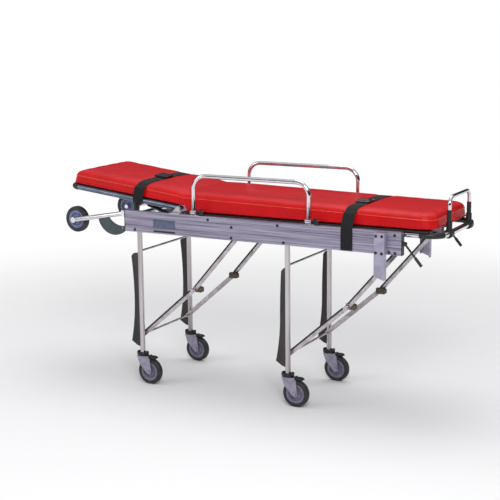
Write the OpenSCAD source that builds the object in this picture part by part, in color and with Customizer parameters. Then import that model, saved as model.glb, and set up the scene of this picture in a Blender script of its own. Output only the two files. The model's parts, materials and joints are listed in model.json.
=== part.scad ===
// Wheeled ambulance stretcher that folds its legs as it is pushed into a vehicle.
// +X points at the foot end, +Y at the right side, +Z up; the floor is z = 0.

/* [Frame] */
// Length of each side rail
rail_len = 1395; // [1300:5:1400]
// Height of the rail section
rail_h = 100; // [95:1:100]
// Thickness of the rail section
rail_t = 25; // [25:1:26]
// Distance from the centre plane to a rail's outer face
rail_outer_y = 262; // [262:1:264]
// Height of the rail's lower edge above the floor
rail_bottom_z = 749; // [749:1:750]
// Head end of the rails
rail_x0 = -604; // [-606:1:-602]

/* [Legs] */
// Position of the head-end leg frame along the stretcher
front_leg_x = -549; // [-552:1:-546]
// Position of the foot-end leg frame along the stretcher
rear_leg_x = 236; // [234:1:238]
// Distance from the centre plane to a leg's axis
leg_y = 222; // [221:0.5:222.5]
// Diameter of a leg tube
leg_d = 25; // [24:0.5:25.5]
// Height of the leg pivots above the floor
pivot_z = 760; // [759:1:761]
// Distance from a leg's pivot to each end of its brace
brace_reach = 520; // [515:1:522]
// How far the knee of a brace hangs outside the straight line
knee_sag = 26; // [20:1:28]

/* [Wheels] */
// Diameter of a caster wheel
caster_d = 125; // [124:1:125]
// Width of every tyre
tyre_w = 30; // [28:1:30]
// Distance from a swivel axis to its wheel's axle
trail = 42; // [40:1:43]
// Diameter of a loading wheel at the head end
load_wheel_d = 126; // [120:1:126]
// Position of the loading wheels along the stretcher
load_wheel_x = -910; // [-912:1:-908]
// Height of the loading wheels' axle
load_wheel_z = 779; // [777:1:781]

/* [Backrest] */
// Position of the backrest hinge along the stretcher
hinge_x = -317; // [-318:1:-316]
// Height of the backrest hinge
hinge_z = 872; // [872:1:873]
// Slope of the backrest as it stands
rest_slope = 6.5; // [5:0.5:8]
// Length of the backrest tube from its hinge
back_len = 618; // [612:1:620]

/* [Mattress] */
// Half of the mattress width
pad_half = 230; // [226:1:230]
// Height of the seat pad's top
seat_top_z = 933; // [930:1:934]
// Foot end of the seat pad
seat_end_x = 923; // [915:1:924]
// Width of a strap
strap_w = 55; // [48:1:58]

/* [Guards] */
// Top of a guard rail, at the tube's axis
guard_top_z = 1035; // [1020:1:1040]
// Diameter of a guard rail tube
guard_d = 20; // [18:1:20]
// Height of the foot handle's bar
handle_top_z = 990; // [980:1:995]

/* [Hidden] */
$fn = 48;
eps = 0.05;              // running clearance of a pin in its bore
gap = 0.5;               // air between parts that pass each other
rail_inner_y = rail_outer_y - rail_t;
rail_top_z = rail_bottom_z + rail_h;
rail_x1 = rail_x0 + rail_len;
rail_wall = 3;
cap_t = 4;
cross_z = 818;
cross_d = 22;
cross_x = [-590, -397, 120, 600];
leg_bottom_z = 152;
caster_r = caster_d / 2;
pivot_pin_r = 6;
brace_rod_r = 5;
upper_rod_drop = 110;
brace_w = 22;
// The brace's knee, seen from the leg's pivot, and the length of each link
knee_x = brace_reach / 2 + knee_sag * sin(45);
knee_drop = brace_reach / 2 + knee_sag * cos(45);
lower_link_y = [197, 205];
upper_link_y = [186, 194];
back_tube_y = 228;
back_tube_r = 12.5;
back_bend = 40;
back_pad_corner = 20;
foot_bar_x = 953;
foot_tube_r = 12.5;
foot_tube_y = rail_inner_y - foot_tube_r - 0.1;
foot_tube_z = rail_top_z - foot_tube_r - gap;
guard_y = 266;
guard_pivot_y = 272;
guard_pivot_z = 866;
guard_x = [-219, 363];
guard_bend = 62;
arm_y = 250;
gas_y = -156;
gas_anchor = [cross_x[1], cross_z];
gas_eye_local = [-300, -15];
pad_edge = 12;

// ---- shared shapes ----

// Copies its children to the left side when s is -1
module on_side(s) {
    if (s < 0) mirror([0, 1, 0]) children();
    else children();
}

// Extrudes a flat X-Z outline between two y values
module plate_xz(y0, y1) {
    translate([0, y1, 0]) rotate([90, 0, 0]) linear_extrude(y1 - y0) children();
}

// Extrudes a flat Y-Z outline between two x values
module plate_yz(x0, x1) {
    translate([x0, 0, 0]) rotate([90, 0, 90]) linear_extrude(x1 - x0) children();
}

// Round bar along Y at (x, z)
module bar_y(x, z, r, y0, y1) {
    translate([x, y1, z]) rotate([90, 0, 0]) cylinder(r = r, h = y1 - y0);
}

// Flat bar outline with round ends between two points
module capsule(p, q, w) {
    d = q - p;
    translate(p) circle(d = w);
    translate(q) circle(d = w);
    translate(p) rotate(atan2(d[1], d[0])) translate([0, -w / 2]) square([norm(d), w]);
}

// Round rod from p to q
module rod(p, q, r) {
    d = q - p;
    translate(p) rotate([0, acos(d[2] / norm(d)), atan2(d[1], d[0])])
        cylinder(r = r, h = norm(d));
}

function unit(v) = v / norm(v);
function turn(a, b) = atan2(a[0] * b[1] - a[1] * b[0], a[0] * b[0] + a[1] * b[1]);
function setback(pts, i, bend) =
    i == 0 || i == len(pts) - 1 ? 0
    : bend * tan(abs(turn(pts[i] - pts[i - 1], pts[i + 1] - pts[i])) / 2);

// Round tube in the X-Y plane that follows pts with bent corners
module bent_tube(pts, bend, r) {
    for (i = [0 : len(pts) - 2]) {
        d = unit(pts[i + 1] - pts[i]);
        a = pts[i] + d * setback(pts, i, bend);
        b = pts[i + 1] - d * setback(pts, i + 1, bend);
        rod([a[0], a[1], 0], [b[0], b[1], 0], r);
    }
    for (i = [1 : len(pts) - 2]) {
        d1 = unit(pts[i] - pts[i - 1]);
        d2 = unit(pts[i + 1] - pts[i]);
        side = sign(turn(d1, d2));
        start = pts[i] - d1 * setback(pts, i, bend);
        centre = start + side * bend * [-d1[1], d1[0]];
        from = side > 0 ? d1 : -d2;
        translate(centre) rotate(atan2(-from[0], from[1])) elbow(bend, r, abs(turn(d1, d2)));
    }
}

// Quarter-ring piece of tube that starts on the +X axis
module elbow(bend, r, angle) {
    rotate_extrude(angle = angle, $fn = 96) translate([bend, 0]) circle(r = r);
}

// Puts children into the backrest's own frame: hinge at the origin, back along -X
module on_backrest() {
    translate([hinge_x, 0, hinge_z]) rotate([0, rest_slope, 0]) children();
}

// ---- fixed frame ----

module side_rail(s) {
    color([0.72, 0.71, 0.78]) on_side(s) plate_yz(rail_x0, rail_x1) difference() {
        translate([rail_inner_y, rail_bottom_z]) square([rail_t, rail_h]);
        translate([rail_inner_y + rail_wall, rail_bottom_z + rail_wall])
            square([rail_t - 3 * rail_wall + 1, rail_h - 2 * rail_wall]);
        for (z = [22, 30, 66, 74])
            translate([rail_outer_y - 2, rail_bottom_z + z]) square([4, 4]);
    }
}

module left_side_rail() side_rail(-1);
module right_side_rail() side_rail(1);

lever_pivot = [rail_x1 + 13, 800];
lever_y = [249, 259];
lever_ear_w = 16;
module rail_end_caps() {
    color([0.35, 0.35, 0.4]) for (s = [-1, 1]) on_side(s) {
        translate([rail_x0 - cap_t, rail_inner_y, rail_bottom_z]) cube([cap_t, rail_t, rail_h]);
        translate([rail_x1, rail_inner_y, rail_bottom_z]) cube([cap_t, rail_t, rail_h]);
        for (y = [lever_y[0] - 0.4 - 4, lever_y[1] + 0.4])
            plate_xz(y, y + (y < arm_y ? 4 : rail_outer_y - lever_y[1] - 0.4))
                capsule([rail_x1 + lever_ear_w / 2, lever_pivot[1]], lever_pivot, lever_ear_w);
        bar_y(lever_pivot[0], lever_pivot[1], 3, lever_y[0] - 1, lever_y[1] + 1);
    }
}

module cross_tubes() {
    color("silver") for (x = cross_x)
        bar_y(x, cross_z, cross_d / 2, -rail_inner_y, rail_inner_y);
}

module seat_deck() {
    color([0.12, 0.12, 0.13])
        translate([hinge_x + 32, -rail_inner_y - 1.5, rail_top_z])
            cube([900 - hinge_x - 32, 2 * rail_inner_y + 3, 6]);
}

module foot_frame_tube() {
    start_x = 640;
    color("silver") translate([0, 0, foot_tube_z]) bent_tube([
        [start_x, -foot_tube_y], [foot_bar_x, -foot_tube_y],
        [foot_bar_x, foot_tube_y], [start_x, foot_tube_y]], 75, foot_tube_r);
}

drop_x = [677, 725];
drop_depth = 26;
module drop_bracket(s) {
    color([0.74, 0.72, 0.8]) on_side(s) difference() {
        plate_xz(rail_outer_y, rail_outer_y + drop_depth)
            polygon([[drop_x[0], 842], [drop_x[0], 656], [drop_x[1], 639], [drop_x[1], 842]]);
        translate([drop_x[0] + 3, rail_outer_y - 1, 630])
            cube([drop_x[1] - drop_x[0] - 6, drop_depth - 2, 209]);
    }
}
module left_drop_bracket() drop_bracket(-1);
module right_drop_bracket() drop_bracket(1);

// Bolt heads on the rails' outer faces, and the studs that carry legs and braces
rail_bolt_xz = [[-150, 835], [-27, 809], [206, 835], [761, 834], [763, 757],
    [front_leg_x, pivot_z], [rear_leg_x, pivot_z],
    [front_leg_x + brace_reach, pivot_z], [rear_leg_x + brace_reach - 20, pivot_z]];
drop_bolt_xz = [[686, 830], [713, 830], [686, 758], [713, 756]];
module bolt_head(x, z, y) {
    bar_y(x, z, 6.5, y, y + 1.2);
    bar_y(x, z, 4.6, y + 1.2, y + 4);
}
module rail_bolts() {
    color([0.2, 0.2, 0.22]) for (s = [-1, 1]) on_side(s) {
        for (p = rail_bolt_xz) bolt_head(p[0], p[1], rail_outer_y);
        for (p = drop_bolt_xz) bolt_head(p[0], p[1], rail_outer_y + drop_depth);
        for (x = [front_leg_x, rear_leg_x]) {
            bar_y(x, pivot_z, pivot_pin_r, leg_y - leg_d / 2 + gap, rail_inner_y);
            bar_y(x, pivot_z, 10, leg_y + leg_d / 2 + gap, rail_inner_y);
            bar_y(x + brace_reach, pivot_z, pivot_pin_r, upper_link_y[0] - 4, rail_inner_y);
            bar_y(x + brace_reach, pivot_z, 10, upper_link_y[1] + gap, rail_inner_y);
            bar_y(x + brace_reach, pivot_z, 9, upper_link_y[0] - 5, upper_link_y[0] - gap);
        }
    }
}

module backrest_hinge_brackets() {
    ear = [back_tube_y + back_tube_r + 1, back_tube_y + back_tube_r + 6];
    color("silver") for (s = [-1, 1]) on_side(s) {
        plate_xz(ear[0], ear[1]) {
            translate([hinge_x, hinge_z]) circle(r = 12);
            polygon([[hinge_x - 40, rail_top_z], [hinge_x + 14, rail_top_z],
                [hinge_x + 12, hinge_z], [hinge_x - 10, hinge_z + 7]]);
        }
        translate([hinge_x - 40, rail_inner_y + 1, rail_top_z]) cube([54, rail_t - 2, 4]);
        bar_y(hinge_x, hinge_z, 5, back_tube_y - 10, ear[0] + 1);
        bar_y(hinge_x, hinge_z, 8, ear[1], ear[1] + 4);
    }
}

module guard_rail_brackets() {
    color("silver") for (s = [-1, 1], x = guard_x) on_side(s) {
        for (side = [-1, 1]) plate_yz(x + side * 12.5 - 2, x + side * 12.5 + 2) {
            translate([guard_pivot_y, guard_pivot_z]) circle(r = 8);
            polygon([[241, rail_top_z], [262, rail_top_z], [guard_pivot_y + 6, guard_pivot_z - 5],
                [guard_pivot_y, guard_pivot_z + 8], [266, guard_pivot_z + 7], [244, 858]]);
        }
        translate([x - 22, 241, rail_top_z]) cube([44, 21, 3.5]);
        translate([x - 14, guard_pivot_y, guard_pivot_z]) rotate([0, 90, 0])
            cylinder(r = 4, h = 28);
    }
}

arm_start = [rail_x0 - cap_t - 4, 832];
arm_end = [load_wheel_x, load_wheel_z];
module load_arms() {
    color("silver") for (s = [-1, 1]) on_side(s) {
        rod([arm_start[0], arm_y, arm_start[1]], [arm_end[0], arm_y, arm_end[1]], 11);
        translate([rail_x0 - cap_t - 18, arm_y - 12, arm_start[1] - 14]) cube([18, 24, 28]);
        bar_y(arm_end[0], arm_end[1], 14, arm_y - 11.5, arm_y + 11.5);
        bar_y(arm_end[0], arm_end[1], 6, 202, arm_y);
        bar_y(arm_end[0], arm_end[1], 10, 198, 203);
    }
}

// Curved guide plates under the arms that steer the head end onto the vehicle's floor
module loading_skids() {
    fall = (arm_start[1] - arm_end[1]) / (arm_start[0] - arm_end[0]);
    function under_arm(x) = arm_start[1] + (x - arm_start[0]) * fall - 11.4;
    color([0.16, 0.22, 0.24]) for (s = [-1, 1]) on_side(s) plate_xz(arm_y - 4, arm_y + 4)
        difference() {
            intersection() {
                translate([-673, 815]) circle(r = 92);
                polygon([[-800, 700], [rail_x0 - cap_t, 700],
                    [rail_x0 - cap_t, under_arm(rail_x0 - cap_t)], [-800, under_arm(-800)]]);
            }
            translate([-630, 860]) circle(r = 91);
            translate([-628, 759]) circle(r = 4);
        }
}

module id_plate() {
    color([0.25, 0.3, 0.45]) translate([-444, -rail_outer_y - 1.5, 757]) cube([117, 1.5, 58]);
}

// ---- mattress and straps ----

// Cross-section of a pad between two heights, with chamfered top edges
module pad_section(z0, z1) {
    polygon([[-pad_half, z0], [pad_half, z0], [pad_half, z1 - 18], [pad_half - pad_edge, z1],
        [pad_edge - pad_half, z1], [-pad_half, z1 - 18]]);
}

// Plan outline from x0 to x1 with both corners rounded at the x1 end
module pad_plan(x0, x1, r) {
    dir = sign(x1 - x0);
    polygon([[x0, -pad_half], [x1 - dir * r, -pad_half], [x1, r - pad_half],
        [x1, pad_half - r], [x1 - dir * r, pad_half], [x0, pad_half]]);
    for (s = [-1, 1]) translate([x1 - dir * r, s * (pad_half - r)]) circle(r = r);
}

seat_bottom_z = rail_top_z + 7;
module seat_pad() {
    x0 = hinge_x + 18;
    color([0.8, 0.08, 0.1]) difference() {
        intersection() {
            plate_yz(x0, seat_end_x) pad_section(seat_bottom_z, seat_top_z);
            translate([0, 0, seat_bottom_z - 10]) linear_extrude(120)
                pad_plan(x0, seat_end_x, 60);
        }
        plate_xz(-pad_half - 5, pad_half + 5)
            polygon([[x0 - 5, 892], [x0, 892], [hinge_x + 53, seat_top_z],
                [hinge_x + 53, seat_top_z + 9], [x0 - 5, seat_top_z + 9]]);
    }
}

// Belt that runs over a pad and round what is beside it, from its inner outline
module belt(x0, x1, inner, outer) {
    left_outer = [for (i = [len(outer) - 1 : -1 : 0]) [-outer[i][0], outer[i][1]]];
    left_inner = [for (p = inner) [-p[0], p[1]]];
    right_inner = [for (i = [len(inner) - 1 : -1 : 0]) inner[i]];
    plate_yz(x0, x1) polygon(concat(left_outer, outer, right_inner, left_inner));
}

leg_strap_x = 540;
module leg_strap() {
    y = rail_outer_y + 0.6;
    color([0.05, 0.05, 0.05]) belt(leg_strap_x - strap_w / 2, leg_strap_x + strap_w / 2,
        [[pad_half - 11.6, seat_top_z + 0.4], [pad_half + 0.6, seat_top_z - 17.6],
            [y, rail_top_z + 0.6], [y, rail_bottom_z - 0.4], [240, rail_bottom_z - 0.4]],
        [[pad_half - 10.6, seat_top_z + 2.6], [pad_half + 2.6, seat_top_z - 16.8],
            [y + 2.2, rail_top_z + 1.2], [y + 2.2, rail_bottom_z - 2.6],
            [240, rail_bottom_z - 2.6]]);
}

module buckle(w) {
    difference() {
        translate([-w / 2, -38, 0]) cube([w, 76, 10]);
        translate([-w / 2 + 12, 14, 4]) cube([w - 24, 14, 10]);
    }
    translate([-w / 2 + 14, -30, 10]) cube([w - 28, 34, 3]);
}

module leg_strap_buckle() {
    color([0.5, 0.5, 0.52]) translate([leg_strap_x, -60, seat_top_z + 2.6]) buckle(66);
}

back_pad_z = [13, 66];
module back_pad() {
    end = 7 - back_len;
    cot52 = 1 / tan(52);
    color([0.8, 0.08, 0.1]) on_backrest() difference() {
        intersection() {
            plate_yz(end, 0) pad_section(back_pad_z[0], back_pad_z[1]);
            linear_extrude(100) pad_plan(-4, end, back_pad_corner);
        }
        plate_xz(-pad_half - 5, pad_half + 5)
            polygon([[0.5, 0], [-80 * cot52, 80], [10, 80], [10, 0]]);
    }
}

chest_strap_x = -228;
module chest_strap() {
    y = back_tube_y + back_tube_r + 0.6;
    low = -back_tube_r - 0.6;
    top = back_pad_z[1];
    color([0.05, 0.05, 0.05]) on_backrest()
        belt(chest_strap_x - strap_w / 2, chest_strap_x + strap_w / 2,
            [[pad_half - 11.6, top + 0.4], [pad_half + 0.6, top - 17.6], [y, 12],
                [y, low], [back_tube_y - 14, low]],
            [[pad_half - 10.6, top + 2.6], [pad_half + 2.7, top - 16.8], [y + 2.2, 12.4],
                [y + 2.2, low - 2.2], [back_tube_y - 14, low - 2.2]]);
}

module chest_strap_buckle() {
    color([0.05, 0.05, 0.05]) on_backrest()
        translate([chest_strap_x, -20, back_pad_z[1] + 2.6]) buckle(64);
}

// ---- backrest ----

module backrest_tube() {
    color("silver") on_backrest() difference() {
        union() {
            bent_tube([[0, -back_tube_y], [-back_len, -back_tube_y],
                [-back_len, back_tube_y], [0, back_tube_y]], back_bend, back_tube_r);
            for (s = [-1, 1]) on_side(s)
                bar_y(0, 0, back_tube_r, back_tube_y - back_tube_r, back_tube_y + back_tube_r);
        }
        for (s = [-1, 1]) on_side(s)
            bar_y(0, 0, 5 + eps, back_tube_y - 20, back_tube_y + 20);
    }
}

module backrest_deck() {
    color([0.12, 0.12, 0.13]) on_backrest() {
        deck_x = [14 - back_len, -20];
        deck_half = 217;
        round_r = back_bend - 14;
        translate([0, 0, 7]) linear_extrude(5.5) {
            translate([deck_x[0] + round_r, -deck_half])
                square([deck_x[1] - deck_x[0] - round_r, 2 * deck_half]);
            translate([deck_x[0], round_r - deck_half])
                square([round_r, 2 * (deck_half - round_r)]);
            for (side = [-1, 1])
                translate([deck_x[0] + round_r, side * (deck_half - round_r)]) circle(r = round_r);
        }
        plate_xz(gas_y + 8, gas_y + 13) {
            translate(gas_eye_local) circle(r = 10);
            polygon([gas_eye_local + [-10, 0], gas_eye_local + [10, 0],
                gas_eye_local + [18, 22.5], gas_eye_local + [-18, 22.5]]);
        }
        bar_y(gas_eye_local[0], gas_eye_local[1], 5, gas_y + 5.5, gas_y + 9);
    }
}

// Where the rod's eye sits on the standing stretcher
gas_eye = [
    hinge_x + gas_eye_local[0] * cos(rest_slope) + gas_eye_local[1] * sin(rest_slope),
    hinge_z - gas_eye_local[0] * sin(rest_slope) + gas_eye_local[1] * cos(rest_slope)];
gas_len = norm(gas_eye - gas_anchor);
module on_gas_spring() {
    d = gas_eye - gas_anchor;
    translate([gas_anchor[0], gas_y, gas_anchor[1]]) rotate([0, -atan2(d[1], d[0]), 0])
        children();
}

gas_body_len = 150;
module gas_spring_cylinder() {
    color([0.1, 0.1, 0.1]) on_gas_spring() difference() {
        union() {
            bar_y(0, 0, 16, -9, 9);
            translate([12, 0, 0]) rotate([0, 90, 0]) cylinder(r = 9, h = gas_body_len - 12);
        }
        bar_y(0, 0, cross_d / 2 + eps, -10, 10);
        translate([18, 0, 0]) rotate([0, 90, 0]) cylinder(r = 4 + eps, h = gas_body_len);
    }
}

module gas_spring_rod() {
    color("silver") on_gas_spring() {
        translate([30, 0, 0]) rotate([0, 90, 0]) cylinder(r = 4, h = gas_len - 34);
        bar_y(gas_len, 0, 9, -5, 5);
    }
}

// ---- folding legs ----

module leg_frame(x) {
    color([0.8, 0.78, 0.84]) translate([x, 0, 0]) difference() {
        union() {
            for (s = [-1, 1]) on_side(s)
                translate([0, leg_y, leg_bottom_z])
                    cylinder(r = leg_d / 2, h = pivot_z + 13 - leg_bottom_z);
            bar_y(0, pivot_z - upper_rod_drop, brace_rod_r, -leg_y, leg_y);
            bar_y(0, pivot_z - brace_reach, brace_rod_r, -leg_y, leg_y);
        }
        for (s = [-1, 1]) on_side(s) {
            bar_y(0, pivot_z, pivot_pin_r + eps, leg_y - 20, leg_y + 20);
            translate([0, leg_y, leg_bottom_z - 1]) cylinder(r = 8 + eps, h = 50);
        }
    }
}
module front_leg_frame() leg_frame(front_leg_x);
module rear_leg_frame() leg_frame(rear_leg_x);

// Bowed rubbing strip along a leg's head-end side; top is its reach at the upper end
skid_z = [190, 637];
module leg_skid(x, top) {
    steps = 24;
    waist = 36;
    bottom = 58;
    round_off = 14;
    edge = [for (i = [0 : steps]) let (t = 2 * i / steps - 1)
        [-waist - ((t < 0 ? bottom : top) - waist) * t * t,
            skid_z[0] + round_off + (skid_z[1] - skid_z[0] - 2 * round_off) * i / steps]];
    color([0.12, 0.12, 0.12]) for (s = [-1, 1]) on_side(s) difference() {
        translate([x, 0, 0]) plate_xz(leg_y - 6, leg_y + 6)
            polygon(concat([[-4, skid_z[0] - 12], [-26, skid_z[0] - 6]], edge,
                [[-top + 12, skid_z[1]], [-4, skid_z[1] + 4]]));
        translate([x, leg_y, 100]) cylinder(r = leg_d / 2 + 0.02, h = 700);
    }
}
module front_leg_skids() leg_skid(front_leg_x, 48);
module rear_leg_skids() leg_skid(rear_leg_x, 30);

module upper_braces(x) {
    top = [x + brace_reach, pivot_z];
    knee = [x + knee_x, pivot_z - knee_drop];
    color([0.78, 0.76, 0.8]) for (s = [-1, 1]) on_side(s) {
        plate_xz(upper_link_y[0], upper_link_y[1]) difference() {
            capsule(knee, top, brace_w);
            translate(top) circle(r = pivot_pin_r + eps);
        }
        bar_y(knee[0], knee[1], 8, upper_link_y[0] - 4, upper_link_y[0]);
    }
}
module front_upper_braces() upper_braces(front_leg_x);
module rear_upper_braces() upper_braces(rear_leg_x);

module lower_braces(x) {
    foot = [x, pivot_z - brace_reach];
    knee = [x + knee_x, pivot_z - knee_drop];
    color([0.78, 0.76, 0.8]) for (s = [-1, 1]) on_side(s) {
        plate_xz(lower_link_y[0], lower_link_y[1]) difference() {
            capsule(foot, knee, brace_w);
            translate(foot) circle(r = brace_rod_r + eps);
        }
        bar_y(knee[0], knee[1], 6, lower_link_y[0] - 2.4, lower_link_y[0]);
        bar_y(knee[0], knee[1], 8, lower_link_y[1], lower_link_y[1] + 3);
    }
}
module front_lower_braces() lower_braces(front_leg_x);
module rear_lower_braces() lower_braces(rear_leg_x);

module brace_bumpers(x) {
    color([0.3, 0.28, 0.2]) for (s = [-1, 1]) on_side(s)
        plate_xz(upper_link_y[0] - 26, upper_link_y[0] - 4.5)
            translate([x + knee_x, pivot_z - knee_drop]) {
                translate([-12, -13]) square([42, 26]);
                translate([30, -10]) square([5, 20]);
            }
}
module front_brace_bumpers() brace_bumpers(front_leg_x);
module rear_brace_bumpers() brace_bumpers(rear_leg_x);

// ---- casters ----

// Puts children on the swivel axis of the caster under a leg
module at_caster(x, s) translate([x, s * leg_y, 0]) children();

pedal_pivot = [36, 132];
pedal_pin_r = 3;
module fork(x, s) {
    plate_y = tyre_w / 2 + 2;
    crown_z = 133;
    color([0.6, 0.6, 0.66]) at_caster(x, s) {
        for (side = [-1, 1]) on_side(side) plate_xz(plate_y, plate_y + 3) {
            translate([trail, caster_r]) circle(r = 14);
            polygon([[-23, crown_z + 3], [23, crown_z + 3], [trail + 6, 127],
                [trail + 13.5, 68], [trail - 10, 52.5], [-8, 96]]);
            translate(pedal_pivot) circle(r = 7);
        }
        intersection() {
            translate([-23, -plate_y, crown_z]) cube([46, 2 * plate_y, 5]);
            translate([0, 0, crown_z - 1]) cylinder(r = 27, h = 10);
        }
        translate([0, 0, crown_z + 5]) cylinder(r = 23, h = leg_bottom_z - crown_z - 6);
        translate([0, 0, leg_bottom_z - 2]) cylinder(r = 8, h = 45);
        bar_y(trail, caster_r, 5, -plate_y - 1, plate_y + 1);
        for (side = [-1, 1]) on_side(side)
            bar_y(trail, caster_r, 8, plate_y + 3, plate_y + 8);
        bar_y(pedal_pivot[0], pedal_pivot[1], pedal_pin_r, -plate_y - 1, plate_y + 1);
    }
}

// Half-profile of a hub: bore, boss, thin web and rim, from the axle outwards
module hub_profile(bore, rim) {
    translate([bore, -14]) square([14 - bore, 28]);
    translate([12, -6]) square([rim - 20, 12]);
    translate([rim - 12, -13]) square([12, 26]);
    translate([rim * 0.55, -9]) square([3, 18]);
}

// Half-profile of a tyre with a rounded tread
module tyre_profile(rim, r) {
    w = tyre_w / 2;
    translate([rim, -w]) square([r - rim - 8, tyre_w]);
    translate([r - 8 - 1, -w + 8]) square([9, tyre_w - 16]);
    for (side = [-1, 1]) translate([r - 8, side * (w - 8)]) circle(r = 8);
}

module hub(pos, bore, rim) {
    color([0.5, 0.5, 0.58]) translate(pos) rotate([90, 0, 0])
        rotate_extrude($fn = 96) hub_profile(bore, rim);
}

module tyre(pos, rim, r) {
    color([0.13, 0.13, 0.16]) translate(pos) rotate([90, 0, 0])
        rotate_extrude($fn = 96) tyre_profile(rim, r);
}

caster_rim = 46;
function axle(x, s) = [x + trail, s * leg_y, caster_r];

module pedal(x, s) {
    w = tyre_w / 2;
    color([0.06, 0.06, 0.06]) at_caster(x, s) plate_xz(-w, w) difference() {
        union() {
            translate(pedal_pivot) circle(r = 5.5);
            polygon([[40, 136], [60, 137.5], [72, 135], [78, 128], [74, 125.5],
                [66, 128.5], [39.5, 128.5]]);
        }
        translate(pedal_pivot) circle(r = pedal_pin_r + eps);
    }
}

module front_left_fork() fork(front_leg_x, -1);
module front_left_hub() hub(axle(front_leg_x, -1), 5 + eps, caster_rim);
module front_left_tyre() tyre(axle(front_leg_x, -1), caster_rim, caster_r);
module front_left_pedal() pedal(front_leg_x, -1);
module front_right_fork() fork(front_leg_x, 1);
module front_right_hub() hub(axle(front_leg_x, 1), 5 + eps, caster_rim);
module front_right_tyre() tyre(axle(front_leg_x, 1), caster_rim, caster_r);
module front_right_pedal() pedal(front_leg_x, 1);
module rear_left_fork() fork(rear_leg_x, -1);
module rear_left_hub() hub(axle(rear_leg_x, -1), 5 + eps, caster_rim);
module rear_left_tyre() tyre(axle(rear_leg_x, -1), caster_rim, caster_r);
module rear_left_pedal() pedal(rear_leg_x, -1);
module rear_right_fork() fork(rear_leg_x, 1);
module rear_right_hub() hub(axle(rear_leg_x, 1), 5 + eps, caster_rim);
module rear_right_tyre() tyre(axle(rear_leg_x, 1), caster_rim, caster_r);
module rear_right_pedal() pedal(rear_leg_x, 1);

// ---- loading wheels ----

load_rim = 44;
function load_axle(s) = [load_wheel_x, s * 220.5, load_wheel_z];
module left_load_hub() hub(load_axle(-1), 6 + eps, load_rim);
module left_load_tyre() tyre(load_axle(-1), load_rim, load_wheel_d / 2);
module right_load_hub() hub(load_axle(1), 6 + eps, load_rim);
module right_load_tyre() tyre(load_axle(1), load_rim, load_wheel_d / 2);

// ---- guard rails, foot handle and levers ----

module guard_rail(s) {
    foot = guard_pivot_z + 4;
    color("gainsboro") on_side(s) difference() {
        union() {
            translate([0, guard_y, 0]) rotate([90, 0, 0]) bent_tube([
                [guard_x[0], foot], [guard_x[0], guard_top_z],
                [guard_x[1], guard_top_z], [guard_x[1], foot]], guard_bend, guard_d / 2);
            for (x = guard_x) translate([x - 9.6, guard_pivot_y, guard_pivot_z])
                rotate([0, 90, 0]) cylinder(r = 8.5, h = 19.2);
        }
        for (x = guard_x) translate([x - 30, guard_pivot_y, guard_pivot_z])
            rotate([0, 90, 0]) cylinder(r = 4 + eps, h = 60);
    }
}
module left_guard_rail() guard_rail(-1);
module right_guard_rail() guard_rail(1);

handle_y = 128;
handle_d = 16;
clamp_r = 20;
module foot_handle() {
    low = foot_tube_z + 26;
    color("gainsboro") translate([foot_bar_x, 0, 0]) rotate([90, 0, 90]) bent_tube([
        [-handle_y, low], [-handle_y, handle_top_z],
        [handle_y, handle_top_z], [handle_y, low]], 36, handle_d / 2);
}

module foot_handle_clamps() {
    color([0.05, 0.05, 0.05]) for (s = [-1, 1]) on_side(s) difference() {
        union() {
            bar_y(foot_bar_x, foot_tube_z, clamp_r, handle_y - 14, handle_y + 14);
            translate([foot_bar_x, handle_y, foot_tube_z]) cylinder(r = 13, h = 50);
        }
        bar_y(foot_bar_x, foot_tube_z, foot_tube_r + eps, handle_y - 20, handle_y + 20);
        translate([foot_bar_x, handle_y, foot_tube_z + 26]) cylinder(r = handle_d / 2, h = 40);
    }
}

lever_len = 118;
lever_drop = 50;
module release_lever(s) {
    y = (lever_y[0] + lever_y[1]) / 2;
    dir = [cos(lever_drop), 0, -sin(lever_drop)];
    hub_at = [lever_pivot[0], y, lever_pivot[1]];
    color([0.06, 0.06, 0.07]) on_side(s) difference() {
        union() {
            bar_y(lever_pivot[0], lever_pivot[1], 8, lever_y[0], lever_y[1]);
            rod(hub_at, hub_at + dir * lever_len, 4.5);
            rod(hub_at + dir * (lever_len - 45), hub_at + dir * lever_len, 6.5);
        }
        bar_y(lever_pivot[0], lever_pivot[1], 3 + eps, lever_y[0] - 5, lever_y[1] + 5);
    }
}
module left_release_lever() release_lever(-1);
module right_release_lever() release_lever(1);

// ---- drawing ----

left_side_rail();
right_side_rail();
rail_end_caps();
cross_tubes();
seat_deck();
foot_frame_tube();
left_drop_bracket();
right_drop_bracket();
rail_bolts();
backrest_hinge_brackets();
guard_rail_brackets();
load_arms();
loading_skids();
id_plate();
seat_pad();
leg_strap();
leg_strap_buckle();
backrest_tube();
backrest_deck();
back_pad();
chest_strap();
chest_strap_buckle();
gas_spring_cylinder();
gas_spring_rod();
front_leg_frame();
front_leg_skids();
front_upper_braces();
front_lower_braces();
front_brace_bumpers();
rear_leg_frame();
rear_leg_skids();
rear_upper_braces();
rear_lower_braces();
rear_brace_bumpers();
front_left_fork();
front_left_hub();
front_left_tyre();
front_left_pedal();
front_right_fork();
front_right_hub();
front_right_tyre();
front_right_pedal();
rear_left_fork();
rear_left_hub();
rear_left_tyre();
rear_left_pedal();
rear_right_fork();
rear_right_hub();
rear_right_tyre();
rear_right_pedal();
left_load_hub();
left_load_tyre();
right_load_hub();
right_load_tyre();
left_guard_rail();
right_guard_rail();
foot_handle();
foot_handle_clamps();
left_release_lever();
right_release_lever();
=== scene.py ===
# %% [markdown]
# # A wheeled ambulance stretcher, dressed for its portrait
# The frame, wheels and joints arrive as finished solids. Here we give each of them crisp edges
# and a real finish, and we make the soft things, a vinyl mattress and two webbing straps,
# because cloth and foam need a mesh that can swell, sag and bend.

# %% Load the frame
import json
import math

import bmesh
import bpy
from mathutils import Matrix, Vector, noise
from mathutils.bvhtree import BVHTree


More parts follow.
